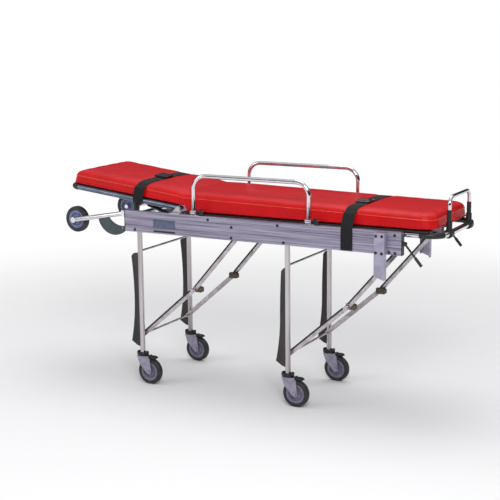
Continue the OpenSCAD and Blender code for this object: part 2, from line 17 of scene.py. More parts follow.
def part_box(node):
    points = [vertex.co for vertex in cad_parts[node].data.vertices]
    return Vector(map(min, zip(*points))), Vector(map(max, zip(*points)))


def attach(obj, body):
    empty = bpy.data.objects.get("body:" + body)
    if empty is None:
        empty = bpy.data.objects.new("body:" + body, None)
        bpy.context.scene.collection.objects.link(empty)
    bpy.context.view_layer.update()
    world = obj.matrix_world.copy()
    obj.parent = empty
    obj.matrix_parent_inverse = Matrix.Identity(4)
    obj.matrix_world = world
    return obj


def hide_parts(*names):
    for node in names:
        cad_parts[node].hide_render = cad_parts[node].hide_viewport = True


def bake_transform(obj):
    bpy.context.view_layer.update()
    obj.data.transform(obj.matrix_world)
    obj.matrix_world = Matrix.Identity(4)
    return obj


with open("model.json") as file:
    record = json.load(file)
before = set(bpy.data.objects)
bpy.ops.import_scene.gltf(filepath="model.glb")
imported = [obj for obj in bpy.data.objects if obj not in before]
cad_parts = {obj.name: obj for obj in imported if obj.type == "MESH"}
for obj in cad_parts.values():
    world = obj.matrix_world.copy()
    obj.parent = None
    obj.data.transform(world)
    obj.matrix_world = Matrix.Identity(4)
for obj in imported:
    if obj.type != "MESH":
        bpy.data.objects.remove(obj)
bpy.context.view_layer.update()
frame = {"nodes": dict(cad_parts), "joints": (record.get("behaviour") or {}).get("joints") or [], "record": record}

# %% [markdown]
# ## The camera
# It stands at the foot end on the left, a little above the mattress, with a long lens, as a
# catalogue picture is taken. Its matrix is built from azimuth, elevation and a small roll,
# which is easier to read than a table of angles.

# %% Camera
AZIMUTH, ELEVATION, ROLL = (math.radians(a) for a in (28.58, 11.10, -0.58))
back = Vector((math.sin(AZIMUTH) * math.cos(ELEVATION),
               -math.cos(AZIMUTH) * math.cos(ELEVATION), math.sin(ELEVATION)))
level_right = Vector((math.cos(AZIMUTH), math.sin(AZIMUTH), 0))
level_up = back.cross(level_right)
right = level_right * math.cos(ROLL) + level_up * math.sin(ROLL)
up = level_up * math.cos(ROLL) - level_right * math.sin(ROLL)
camera_data = bpy.data.cameras.new("camera")
camera_data.lens = 87.7
camera = bpy.data.objects.new("camera", camera_data)
bpy.context.scene.collection.objects.link(camera)
camera.matrix_world = (Matrix.Translation((2.634, -4.972, 1.766))
                       @ Matrix((right, up, back)).transposed().to_4x4())
bpy.context.scene.camera = camera
bpy.context.scene.view_settings.view_transform = "Standard"

# %% [markdown]
# ## Floor and light
# A pale floor and a bright surround give the white studio look. The floor glows a little far
# from the stretcher, so that it meets the surround without a line. Polished tube only looks like
# metal when it has something dark to mirror, so the surround has a dark band above the horizon
# that only reflections see.

# %% Floor, surround and lamps
bm = bmesh.new()
bmesh.ops.create_grid(bm, x_segments=1, y_segments=1, size=30)
floor_mesh = bpy.data.meshes.new("floor")
bm.to_mesh(floor_mesh)
bm.free()
floor = bpy.data.objects.new("floor", floor_mesh)
bpy.context.scene.collection.objects.link(floor)
floor_finish = bpy.data.materials.new("floor_white")
floor_finish.use_nodes = True
floor_bsdf = floor_finish.node_tree.nodes["Principled BSDF"]
floor_bsdf.inputs["Roughness"].default_value = 0.9
floor_bsdf.inputs["Specular IOR Level"].default_value = 0.1
floor_bsdf.inputs["Emission Strength"].default_value = 1.0
floor_nodes, floor_links = floor_finish.node_tree.nodes, floor_finish.node_tree.links
floor_place = floor_nodes.new("ShaderNodeTexCoord")
distance = floor_nodes.new("ShaderNodeVectorMath")
distance.operation = "LENGTH"
near, glow = (floor_nodes.new("ShaderNodeMapRange") for _ in range(2))
for fade, low, high in ((near, 0.93, 0.0), (glow, 0.0, 1.0)):
    fade.interpolation_type = "SMOOTHSTEP"
    fade.inputs["From Min"].default_value = 1.3
    fade.inputs["From Max"].default_value = 4.2
    fade.inputs["To Min"].default_value, fade.inputs["To Max"].default_value = low, high
    floor_links.new(distance.outputs["Value"], fade.inputs["Value"])
floor_links.new(floor_place.outputs["Object"], distance.inputs[0])
floor_links.new(near.outputs["Result"], floor_bsdf.inputs["Base Color"])
floor_links.new(glow.outputs["Result"], floor_bsdf.inputs["Emission Color"])
floor_mesh.materials.append(floor_finish)

world = bpy.data.worlds.new("studio")
bpy.context.scene.world = world
world.use_nodes = True
tree = world.node_tree
coords = tree.nodes.new("ShaderNodeTexCoord")
height = tree.nodes.new("ShaderNodeSeparateXYZ")
bands = tree.nodes.new("ShaderNodeValToRGB")
ray = tree.nodes.new("ShaderNodeLightPath")
pick = tree.nodes.new("ShaderNodeMix")
pick.data_type = "RGBA"
tree.links.new(coords.outputs["Generated"], height.inputs[0])
tree.links.new(height.outputs["Z"], bands.inputs[0])
stops = bands.color_ramp.elements
stops[0].position, stops[0].color = 0.0, (0.10, 0.10, 0.11, 1)
stops[1].position, stops[1].color = 1.0, (1, 1, 1, 1)
for place, grey in ((0.06, 0.03), (0.36, 0.05), (0.52, 0.75)):
    stop = stops.new(place)
    stop.color = (grey, grey, grey * 1.06, 1)
tree.links.new(ray.outputs["Is Camera Ray"], pick.inputs["Factor"])
tree.links.new(bands.outputs["Color"], pick.inputs["A"])
pick.inputs["B"].default_value = (1.25, 1.25, 1.25, 1)
tree.links.new(pick.outputs["Result"], tree.nodes["Background"].inputs["Color"])
tree.nodes["Background"].inputs["Strength"].default_value = 0.8


def lamp(name, place, target, size, power):
    """A soft square lamp that looks at a target."""
    data = bpy.data.lights.new(name, "AREA")
    data.size, data.energy = size, power
    obj = bpy.data.objects.new(name, data)
    bpy.context.scene.collection.objects.link(obj)
    obj.location = place
    obj.rotation_euler = (Vector(target) - Vector(place)).to_track_quat("-Z", "Y").to_euler()


lamp("key", (2.2, -3.6, 3.4), (0, 0, 0.7), 1.6, 95)
lamp("fill", (-3.5, -2.8, 2.4), (0, 0, 0.6), 2.0, 30)
lamp("top", (0, 0.6, 4.0), (0, 0, 0.8), 2.2, 34)

# %% [markdown]
# ## Shared effects
# Four effects turn up in many finishes, so each is one node group: blotchy wear between two
# colours, a grain that can be stretched into brush marks, a pebble texture for moulded and
# coated surfaces, and a weave for webbing. They read object coordinates, so a pattern keeps its
# real size on every piece.


# %% Node groups
def new_group(name, inputs, outputs):
    """An empty shader node group with named sockets, and its two end nodes."""
    group = bpy.data.node_groups.new(name, "ShaderNodeTree")
    for label, kind, value in inputs:
        socket = group.interface.new_socket(label, in_out="INPUT", socket_type=kind)
        if value is not None:
            socket.default_value = value
    for label, kind in outputs:
        group.interface.new_socket(label, in_out="OUTPUT", socket_type=kind)
    return group, group.nodes.new("NodeGroupInput"), group.nodes.new("NodeGroupOutput")


def chain(tree, kind, **settings):
    """A new node with some of its properties set."""
    node = tree.nodes.new(kind)
    for label, value in settings.items():
        setattr(node, label, value)
    return node


# %% [markdown]
# Wear is a soft-edged noise mask that blends a fresh colour and gloss into worn ones.

# %% Patchy wear
VECTOR, FLOAT, COLOR = "NodeSocketVector", "NodeSocketFloat", "NodeSocketColor"

wear, start, end = new_group("patchy_wear", [
    ("Stretch", VECTOR, (1, 1, 1)), ("Scale", FLOAT, 6.0), ("Amount", FLOAT, 0.5),
    ("Fresh", COLOR, (0.5, 0.5, 0.5, 1)), ("Worn", COLOR, (0.4, 0.4, 0.4, 1)),
    ("Fresh Roughness", FLOAT, 0.3), ("Worn Roughness", FLOAT, 0.5)],
    [("Color", COLOR), ("Roughness", FLOAT)])
place = chain(wear, "ShaderNodeTexCoord")
stretch = chain(wear, "ShaderNodeVectorMath", operation="MULTIPLY")
blotch = chain(wear, "ShaderNodeTexNoise")
blotch.inputs["Detail"].default_value = 6
blotch.inputs["Roughness"].default_value = 0.62
mask = chain(wear, "ShaderNodeMapRange", interpolation_type="SMOOTHSTEP")
mask.inputs["From Min"].default_value = 0.38
mask.inputs["From Max"].default_value = 0.68
share = chain(wear, "ShaderNodeMath", operation="MULTIPLY")
tint = chain(wear, "ShaderNodeMix", data_type="RGBA")
gloss = chain(wear, "ShaderNodeMix", data_type="FLOAT")
for a, b in (
        (place.outputs["Object"], stretch.inputs[0]),
        (start.outputs["Stretch"], stretch.inputs[1]),
        (stretch.outputs[0], blotch.inputs["Vector"]),
        (start.outputs["Scale"], blotch.inputs["Scale"]),
        (blotch.outputs["Fac"], mask.inputs["Value"]),
        (mask.outputs["Result"], share.inputs[0]),
        (start.outputs["Amount"], share.inputs[1]),
        (share.outputs[0], tint.inputs["Factor"]),
        (start.outputs["Fresh"], tint.inputs["A"]),
        (start.outputs["Worn"], tint.inputs["B"]),
        (share.outputs[0], gloss.inputs["Factor"]),
        (start.outputs["Fresh Roughness"], gloss.inputs["A"]),
        (start.outputs["Worn Roughness"], gloss.inputs["B"]),
        (tint.outputs["Result"], end.inputs["Color"]),
        (gloss.outputs["Result"], end.inputs["Roughness"])):
    wear.links.new(a, b)

# %% [markdown]
# The grain is the same noise squeezed along one axis, which turns its grains into brush marks.

# %% Stretched grain
grain, start, end = new_group("stretched_grain", [
    ("Stretch", VECTOR, (1, 1, 1)), ("Scale", FLOAT, 60.0)], [("Height", FLOAT)])
place = chain(grain, "ShaderNodeTexCoord")
stretch = chain(grain, "ShaderNodeVectorMath", operation="MULTIPLY")
lines = chain(grain, "ShaderNodeTexNoise")
lines.inputs["Detail"].default_value = 4
for a, b in (
        (place.outputs["Object"], stretch.inputs[0]), (start.outputs["Stretch"], stretch.inputs[1]),
        (stretch.outputs[0], lines.inputs["Vector"]), (start.outputs["Scale"], lines.inputs["Scale"]),
        (lines.outputs["Fac"], end.inputs["Height"])):
    grain.links.new(a, b)

# %% [markdown]
# Moulded plastic, rubber and coated cloth have a fine pebbled skin, which rounded Voronoi cells give.

# %% Pebble grain
pebble, start, end = new_group("pebble_grain", [
    ("Scale", FLOAT, 400.0), ("Softness", FLOAT, 0.5)], [("Height", FLOAT)])
place = chain(pebble, "ShaderNodeTexCoord")
cells = chain(pebble, "ShaderNodeTexVoronoi", feature="SMOOTH_F1")
for a, b in (
        (place.outputs["Object"], cells.inputs["Vector"]),
        (start.outputs["Scale"], cells.inputs["Scale"]),
        (start.outputs["Softness"], cells.inputs["Smoothness"]),
        (cells.outputs["Distance"], end.inputs["Height"])):
    pebble.links.new(a, b)

# %% [markdown]
# Webbing is woven in ribs. Two waves that cross on the strap's own UV map make the ribs, so they
# follow the strap round its bends.

# %% Webbing weave
weave, start, end = new_group("webbing_weave", [("Threads", FLOAT, 500.0)],
                              [("Height", FLOAT), ("Mask", FLOAT)])
place = chain(weave, "ShaderNodeUVMap", uv_map="along")
across = chain(weave, "ShaderNodeTexWave", bands_direction="X")
along = chain(weave, "ShaderNodeTexWave", bands_direction="DIAGONAL")
both = chain(weave, "ShaderNodeMath", operation="MULTIPLY")
for wave in (across, along):
    weave.links.new(place.outputs["UV"], wave.inputs["Vector"])
    weave.links.new(start.outputs["Threads"], wave.inputs["Scale"])
    weave.links.new(wave.outputs["Fac"], both.inputs[0 if wave is across else 1])
weave.links.new(both.outputs[0], end.inputs["Height"])
weave.links.new(along.outputs["Fac"], end.inputs["Mask"])
print("made", len(bpy.data.node_groups), "shared effects")

# %% [markdown]
# ## One recipe for metals, paints and plastics
# Every finish is a Principled shader whose colour and roughness come from the wear group, with
# a bump from one of the grains. Only the numbers differ, so one function makes them all and the
# table after it reads like a maker's list of finishes.


# %% Finish recipe
def finish(name, fresh, worn, rough, worn_rough, metal=0.0, amount=0.5, patch=6.0,
           stretch=(1, 1, 1), texture=None, texture_scale=60.0, bump=0.0003, coat=0.0,
           specular=0.5):
    """A material with patchy wear and an optional grain, in metres."""
    material = bpy.data.materials.new(name)
    material.use_nodes = True
    nodes, links = material.node_tree.nodes, material.node_tree.links
    bsdf = nodes["Principled BSDF"]
    patches = chain(material.node_tree, "ShaderNodeGroup", node_tree=wear)
    patches.inputs["Stretch"].default_value = stretch
    patches.inputs["Scale"].default_value = patch
    patches.inputs["Amount"].default_value = amount
    patches.inputs["Fresh"].default_value = (*fresh, 1)
    patches.inputs["Worn"].default_value = (*worn, 1)
    patches.inputs["Fresh Roughness"].default_value = rough
    patches.inputs["Worn Roughness"].default_value = worn_rough
    links.new(patches.outputs["Color"], bsdf.inputs["Base Color"])
    links.new(patches.outputs["Roughness"], bsdf.inputs["Roughness"])
    bsdf.inputs["Metallic"].default_value = metal
    bsdf.inputs["Specular IOR Level"].default_value = specular
    bsdf.inputs["Coat Weight"].default_value = coat
    bsdf.inputs["Coat Roughness"].default_value = 0.12
    if texture:
        surface = chain(material.node_tree, "ShaderNodeGroup", node_tree=texture)
        surface.inputs["Scale"].default_value = texture_scale
        if texture is grain:
            surface.inputs["Stretch"].default_value = stretch
        relief = chain(material.node_tree, "ShaderNodeBump")
        relief.inputs["Strength"].default_value = 0.6
        relief.inputs["Distance"].default_value = bump
        links.new(surface.outputs["Height"], relief.inputs["Height"])
        links.new(relief.outputs["Normal"], bsdf.inputs["Normal"])
    return material


# %% [markdown]
# The metals come first: anodised rails, polished tubes, pressed braces and painted brackets.

# %% Metals
ALONG_Z = (1, 1, 0.04)
FINISHES = {
    "rail_aluminium": finish(
        "rail_aluminium", (0.42, 0.39, 0.50), (0.16, 0.14, 0.22), 0.34, 0.5, metal=0.6,
        amount=0.9, patch=190, stretch=(0.014, 1, 1), texture=grain, texture_scale=900,
        bump=0.0002),
    "bright_tube": finish(
        "bright_tube", (0.78, 0.77, 0.80), (0.50, 0.49, 0.53), 0.07, 0.18, metal=1.0,
        amount=0.5, patch=14, texture=grain, texture_scale=300, bump=0.00001),
    "blued_tube": finish(
        "blued_tube", (0.15, 0.18, 0.24), (0.08, 0.10, 0.14), 0.16, 0.30, metal=0.85,
        amount=0.6, patch=18, texture=grain, texture_scale=300, bump=0.00001),
    "leg_tube": finish(
        "leg_tube", (0.56, 0.52, 0.55), (0.26, 0.22, 0.20), 0.13, 0.26, metal=1.0, amount=0.75,
        patch=22, stretch=ALONG_Z, texture=grain, texture_scale=300, bump=0.000015),
    "brace_steel": finish(
        "brace_steel", (0.56, 0.52, 0.56), (0.30, 0.26, 0.26), 0.26, 0.45, metal=0.9,
        amount=0.65, patch=30, texture=grain, texture_scale=700, bump=0.00008),
    "bracket_steel": finish(
        "bracket_steel", (0.42, 0.39, 0.51), (0.27, 0.25, 0.35), 0.38, 0.55, metal=0.45,
        amount=0.6, patch=18, texture=pebble, texture_scale=900, bump=0.0001),
    "zinc_fittings": finish(
        "zinc_fittings", (0.60, 0.59, 0.63), (0.34, 0.32, 0.35), 0.28, 0.46, metal=0.95,
        amount=0.6, patch=40, texture=pebble, texture_scale=1400, bump=0.00008),
    "dark_bolts": finish(
        "dark_bolts", (0.03, 0.03, 0.035), (0.10, 0.09, 0.09), 0.36, 0.55, metal=0.8,
        amount=0.7, patch=120, texture=pebble, texture_scale=1500, bump=0.00008),
}
print("made", len(FINISHES), "metals")

# %% [markdown]
# Plastics and rubbers reflect far less than metal and show scuffs as paler, rougher patches.

# %% Plastics, rubbers and plates
FINISHES.update({
    "black_plastic": finish(
        "black_plastic", (0.006, 0.006, 0.007), (0.022, 0.021, 0.023), 0.42, 0.62,
        amount=0.6, patch=30, texture=pebble, texture_scale=1300, bump=0.00012),
    "deck_board": finish(
        "deck_board", (0.010, 0.010, 0.012), (0.030, 0.028, 0.030), 0.5, 0.7, amount=0.6,
        patch=9, texture=pebble, texture_scale=700, bump=0.0002),
    "skid_plastic": finish(
        "skid_plastic", (0.012, 0.014, 0.022), (0.050, 0.045, 0.036), 0.4, 0.66, amount=0.8,
        patch=20, stretch=(1, 1, 0.2), texture=grain, texture_scale=300, bump=0.0003),
    "skid_dark_green": finish(
        "skid_dark_green", (0.022, 0.044, 0.050), (0.050, 0.072, 0.076), 0.32, 0.55,
        amount=0.6, patch=26, texture=pebble, texture_scale=1000, bump=0.0001, coat=0.3),
    "plate_blue": finish(
        "plate_blue", (0.055, 0.075, 0.15), (0.13, 0.145, 0.23), 0.3, 0.5, amount=0.6, patch=60,
        texture=pebble, texture_scale=1500, bump=0.00005, coat=0.4),
    "buckle_metal": finish(
        "buckle_metal", (0.16, 0.16, 0.18), (0.09, 0.085, 0.09), 0.25, 0.45, metal=0.9,
        amount=0.6, patch=60, texture=grain, texture_scale=900, bump=0.00008),
    "olive_rubber": finish(
        "olive_rubber", (0.090, 0.070, 0.036), (0.16, 0.13, 0.085), 0.6, 0.8, amount=0.7,
        patch=50, texture=pebble, texture_scale=900, bump=0.0003),
    "fork_steel": finish(
        "fork_steel", (0.38, 0.35, 0.45), (0.22, 0.20, 0.27), 0.33, 0.5, metal=0.6,
        amount=0.6, patch=45, texture=pebble, texture_scale=1200, bump=0.0001),
    "wheel_grey": finish(
        "wheel_grey", (0.15, 0.14, 0.215), (0.26, 0.24, 0.31), 0.4, 0.6, amount=0.6, patch=40,
        texture=pebble, texture_scale=1300, bump=0.0001),
    "tyre_rubber": finish(
        "tyre_rubber", (0.014, 0.014, 0.020), (0.055, 0.050, 0.046), 0.55, 0.8, amount=0.75,
        patch=45, texture=pebble, texture_scale=1100, bump=0.0003),
    "load_wheel_blue": finish(
        "load_wheel_blue", (0.13, 0.155, 0.30), (0.24, 0.26, 0.42), 0.35, 0.55, amount=0.6,
        patch=35, texture=pebble, texture_scale=1300, bump=0.0001),
})
print("now", len(FINISHES), "finishes")

# %% [markdown]
# The gas spring is lacquered and chromed, and the mattress is glossy vinyl. Its top cord is a real seam coloured a
# brighter orange-red, which is a painted highlight along the edge.

# %% Gas spring and vinyl
FINISHES.update({
    "gas_black": finish(
        "gas_black", (0.010, 0.010, 0.011), (0.03, 0.03, 0.03), 0.3, 0.5, amount=0.5,
        patch=30, texture=pebble, texture_scale=1300, bump=0.00006, coat=0.3),
    "gas_chrome": finish(
        "gas_chrome", (0.82, 0.82, 0.84), (0.6, 0.6, 0.62), 0.06, 0.16, metal=1.0,
        amount=0.4, patch=20, texture=grain, texture_scale=600, bump=0.00003),
    "red_vinyl": finish(
        "red_vinyl", (0.60, 0.005, 0.009), (0.46, 0.003, 0.006), 0.36, 0.5, amount=0.6,
        patch=7, texture=pebble, texture_scale=650, bump=0.00022, specular=0.22),
    # Top welt finish: brighter orange-red than the cover, a painted highlight on a real seam.
    "welt_vinyl_painted_highlight": finish(
        "welt_vinyl_painted_highlight", (0.78, 0.065, 0.018), (0.56, 0.020, 0.010), 0.24, 0.38, amount=0.8,
        patch=30, texture=pebble, texture_scale=900, bump=0.0001),
})

# %% [markdown]
# Webbing has its own recipe, because its colour comes from the weave and it has almost no gloss.


# %% Webbing
def webbing(name, dark, light):
    """Woven nylon: dark threads with a little sheen, and ribs from the weave group."""
    material = bpy.data.materials.new(name)
    material.use_nodes = True
    links = material.node_tree.links
    bsdf = material.node_tree.nodes["Principled BSDF"]
    threads = chain(material.node_tree, "ShaderNodeGroup", node_tree=weave)
    threads.inputs["Threads"].default_value = 110
    tone = chain(material.node_tree, "ShaderNodeMix", data_type="RGBA")
    tone.inputs["A"].default_value = (*dark, 1)
    tone.inputs["B"].default_value = (*light, 1)
    relief = chain(material.node_tree, "ShaderNodeBump")
    relief.inputs["Strength"].default_value = 0.7
    relief.inputs["Distance"].default_value = 0.0004
    links.new(threads.outputs["Mask"], tone.inputs["Factor"])
    links.new(tone.outputs["Result"], bsdf.inputs["Base Color"])
    links.new(threads.outputs["Height"], relief.inputs["Height"])
    links.new(relief.outputs["Normal"], bsdf.inputs["Normal"])
    bsdf.inputs["Roughness"].default_value = 0.8
    bsdf.inputs["Specular IOR Level"].default_value = 0.25
    bsdf.inputs["Sheen Weight"].default_value = 0.06
    return material


FINISHES["strap_webbing"] = webbing("strap_webbing", (0.004, 0.004, 0.005), (0.016, 0.016, 0.018))
print("made", len(FINISHES), "finishes")

# %% [markdown]
# ## Crisp edges on the solids
# A solid straight from the design has knife edges, which no pressed, cast or sawn part has, and
# they catch no light. Each solid is copied, its loose triangles are welded and its flat faces
# joined, and a small bevel goes on every sharp edge. The copy then stands for the solid.

# %% Bevelled copies of the solids
slot_of = {part["node"]: part["material_slot"] for part in frame["record"]["subparts"]}
body_of = {node: body for body, nodes in frame["record"]["behaviour"]["bodies"].items()
           for node in nodes}
SOFT = {"seat_pad", "back_pad", "leg_strap", "chest_strap", "leg_strap_buckle",
        "chest_strap_buckle", "id_plate"}
EDGE = {"rail_bolts": 0.0004, "cross_tubes": 0.0005}
OTHER_FINISH = {"backrest_tube": "blued_tube"}


def place_piece(name, mesh, body, slot, material=None):
    """Links a finished mesh, paints it and lets it ride on its body."""
    piece = bpy.data.objects.new(name, mesh)
    bpy.context.scene.collection.objects.link(piece)
    mesh.materials.clear()
    mesh.materials.append(FINISHES[material or slot])
    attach(piece, body)
    return piece


def crisp(node, width=0.0008):
    """A welded, bevelled copy of a solid that replaces it."""
    bm = bmesh.new()
    bm.from_mesh(frame["nodes"][node].data)
    bmesh.ops.remove_doubles(bm, verts=bm.verts, dist=1e-6)
    bmesh.ops.dissolve_limit(bm, angle_limit=math.radians(0.5), verts=bm.verts, edges=bm.edges)
    mesh = bpy.data.meshes.new(node + "_finished")
    bm.to_mesh(mesh)
    bm.free()
    mesh.polygons.foreach_set("use_smooth", [True] * len(mesh.polygons))
    mesh.set_sharp_from_angle(angle=math.radians(32))
    piece = place_piece(node + "_finished", mesh, body_of[node], slot_of[node],
                        OTHER_FINISH.get(node))
    edge = piece.modifiers.new("edge", "BEVEL")
    edge.width = width
    edge.segments = 2
    edge.limit_method = "ANGLE"
    edge.angle_limit = math.radians(40)
    edge.harden_normals = True
    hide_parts(node)
    return piece


for node in frame["nodes"]:
    if node not in SOFT:
        crisp(node, EDGE.get(node, 0.0008))
print("bevelled", len(frame["nodes"]) - len(SOFT), "solids")

# %% [markdown]
# ## The mattress
# A stretcher mattress is one slab of foam in welded vinyl, flat below, crowned above, with
# round corners and a welt round its top and bottom edges. It bends at the backrest hinge. A box
# is rounded with bevels, remeshed into even quads, bent to the backrest's slope, and then a
# cloth simulation blows it up a little, which crowns the top and draws the sides in at the
# corners as the real cover does.

# %% Mattress measures
seat_low, seat_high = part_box("seat_pad")
tilt = next(j for j in frame["joints"] if j["name"] == "backrest_tilt")
HINGE = Vector(tilt["pos_m"])
SLOPE = math.radians(6.5)
HALF = seat_high.y
BACK_LENGTH = 0.611
SEAT_LENGTH = seat_high.x - HINGE.x
SEAT_BOTTOM, SEAT_TOP = seat_low.z - HINGE.z, seat_high.z - HINGE.z
BACK_BOTTOM, BACK_TOP = 0.0138, 0.072
HINGE_RISE, FOOT_DROP = 0.006, 0.016
BEND = 0.08
print("mattress", round(BACK_LENGTH + SEAT_LENGTH, 3), "m long,", 2 * HALF, "m wide")


def smooth(t):
    """0 to 1 with a soft start and end."""
    t = max(0.0, min(1.0, t))
    return t * t * (3 - 2 * t)


def on_slope(s, y, h):
    """A point of the flat mattress, s metres from the hinge and h above it, on the stretcher."""
    share = smooth((BEND / 2 - s) / BEND)
    angle = SLOPE * share
    return Vector((HINGE.x + s * math.cos(angle) + h * math.sin(angle), y,
                   HINGE.z - s * math.sin(angle) + h * math.cos(angle)))


def bottom_at(s):
    """Height of the mattress's underside above the hinge, s metres from it."""
    return BACK_BOTTOM + (SEAT_BOTTOM - BACK_BOTTOM) * smooth((s - 0.02) / 0.02)


def top_at(s):
    """Height of the mattress's top before it is blown up."""
    fall = (HINGE_RISE + FOOT_DROP) * max(0.0, s / SEAT_LENGTH)
    return BACK_TOP + (SEAT_TOP + HINGE_RISE - fall - BACK_TOP) * smooth((s + BEND / 2) / BEND)


# %% [markdown]
# The slab starts as a cube, scaled to length. Its four upright edges are bevelled wide for the plan's
# corners, then its rims: softly on top and tightly below. Voxel remeshing gives cloth even quads.

# %% Mattress slab
PUFF = 0.006
VOXEL = 0.009
HEAD_CORNER, FOOT_CORNER = 0.018, 0.062
SLAB_HIGH, TOP_ROUND = 0.074, 0.016
bm = bmesh.new()
bmesh.ops.create_cube(bm, size=1)
length = BACK_LENGTH + SEAT_LENGTH
bmesh.ops.scale(bm, vec=(length, 2 * HALF - PUFF, 1), verts=bm.verts)
bmesh.ops.translate(bm, vec=((SEAT_LENGTH - BACK_LENGTH) / 2, 0, 0.5), verts=bm.verts)
bmesh.ops.scale(bm, vec=(1, 1, SLAB_HIGH), verts=bm.verts)
for sign, radius in ((1, FOOT_CORNER), (-1, HEAD_CORNER)):
    posts = [e for e in bm.edges if abs(e.verts[0].co.z - e.verts[1].co.z) > 0.01
             and sign * (e.verts[0].co.x - (SEAT_LENGTH - BACK_LENGTH) / 2) > 0]
    bmesh.ops.bevel(bm, geom=posts, offset=radius, segments=8, profile=0.5,
                    affect="EDGES", offset_type="OFFSET", material=-1)
for level, radius, segments in ((SLAB_HIGH, TOP_ROUND, 4), (0.0, 0.008, 3)):
    rim = [e for e in bm.edges if all(abs(v.co.z - level) < 1e-5 for v in e.verts)]
    bmesh.ops.bevel(bm, geom=rim, offset=radius, segments=segments, profile=0.5,
                    affect="EDGES", offset_type="OFFSET", material=-1)
slab = bpy.data.meshes.new("mattress")
bm.to_mesh(slab)
bm.free()
work = bpy.data.objects.new("mattress_work", slab)
bpy.context.scene.collection.objects.link(work)


def applied(obj):
    """A new mesh of what obj looks like with its modifiers."""
    bpy.context.view_layer.update()
    graph = bpy.context.evaluated_depsgraph_get()
    return bpy.data.meshes.new_from_object(obj.evaluated_get(graph))


even = work.modifiers.new("even", "REMESH")
even.mode, even.voxel_size, even.adaptivity = "VOXEL", VOXEL, 0
work.data = applied(work)
work.modifiers.clear()
print("mattress slab has", len(work.data.polygons), "even faces")

# %% [markdown]
# Every point is moved from the flat slab onto the stretcher: its height becomes a share of the
# mattress's thickness there, and its distance from the hinge runs down the seat or up the backrest.

# %% Bend the slab to the backrest
flat = [v.co.copy() for v in work.data.vertices]
for vertex, (s, y, h) in zip(work.data.vertices, flat):
    share = h / SLAB_HIGH
    lift = bottom_at(s) + share * (top_at(s) - bottom_at(s))
    vertex.co = on_slope(s, y, lift)
print("bent the slab by", round(math.degrees(SLOPE), 1), "degrees at the hinge")

# %% [markdown]
# Cloth with pressure and no gravity swells like a filled cover. The movement is capped and kept
# to the upper part, so the underside stays flat on the deck.

# %% Blow the cover up
CAP = 0.008


def blow_up(obj, cap, steps=16):
    """Swells a closed cover with a cloth simulation; no point moves further than cap."""
    before = [v.co.copy() for v in obj.data.vertices]
    cloth = obj.modifiers.new("cloth", "CLOTH")
    cloth.settings.quality = 4
    cloth.settings.use_pressure = True
    cloth.settings.uniform_pressure_force = 4
    cloth.settings.effector_weights.gravity = 0
    cloth.settings.tension_stiffness = 20
    cloth.settings.compression_stiffness = 20
    cloth.point_cache.frame_start, cloth.point_cache.frame_end = 1, steps
    scene = bpy.context.scene
    for number in range(1, steps + 1):
        scene.frame_set(number)
    swollen = applied(obj)
    obj.modifiers.clear()
    after = [v.co.copy() for v in swollen.vertices]
    scene.frame_set(1)
    moved = [b - a for a, b in zip(before, after)]
    return before, [m if m.length < cap else m.normalized() * cap for m in moved]


# %% [markdown]
# The swelling is added to the bent slab with a crown, a faint ripple, a crease at the bend and a
# groove under each strap. One subdivision then smooths the voxels.

# %% Crown, creases and strap grooves
strap_low, strap_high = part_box("leg_strap")
STRAPS = {"leg_strap": (strap_low.x + strap_high.x) / 2 - HINGE.x, "chest_strap": -0.228}
STRAP_WIDTH = strap_high.x - strap_low.x
before, moved = blow_up(work, CAP)
for number, (vertex, rest, (s, y, h)) in enumerate(zip(work.data.vertices, before, flat)):
    share = smooth(h / SLAB_HIGH)
    push = moved[number] * share if moved else Vector((0, 0, 0))
    across = 1 - (y / HALF) ** 2
    crown = 0.006 * max(0.0, across) * share
    ripple = 0.0009 * noise.noise(Vector((s * 9, y * 7, h * 9))) * share
    near_bend = math.exp(-(s / 0.06) ** 2)
    crease = -0.002 * near_bend * share
    pinch = 0.0
    for middle in STRAPS.values():
        reach = abs(s - middle) - STRAP_WIDTH / 2
        pinch -= 0.0045 * share * (1 - smooth((reach + 0.006) / 0.03))
    vertex.co = rest + push + Vector((0, 0, crown + ripple + crease + pinch))
soften = work.modifiers.new("soften", "SUBSURF")
soften.levels = soften.render_levels = 1
mattress_mesh = applied(work)
bpy.data.objects.remove(work)
mattress_mesh.name = "mattress"
mattress_mesh.materials.clear()
mattress_mesh.materials.append(FINISHES["red_vinyl"])
mattress_mesh.polygons.foreach_set("use_smooth", [True] * len(mattress_mesh.polygons))
surface = BVHTree.FromPolygons([v.co for v in mattress_mesh.vertices],
                               [p.vertices for p in mattress_mesh.polygons])
mattress = bpy.data.objects.new("mattress", mattress_mesh)
bpy.context.scene.collection.objects.link(mattress)
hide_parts("seat_pad", "back_pad")
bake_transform(mattress)
print("mattress has", len(mattress_mesh.polygons), "faces")
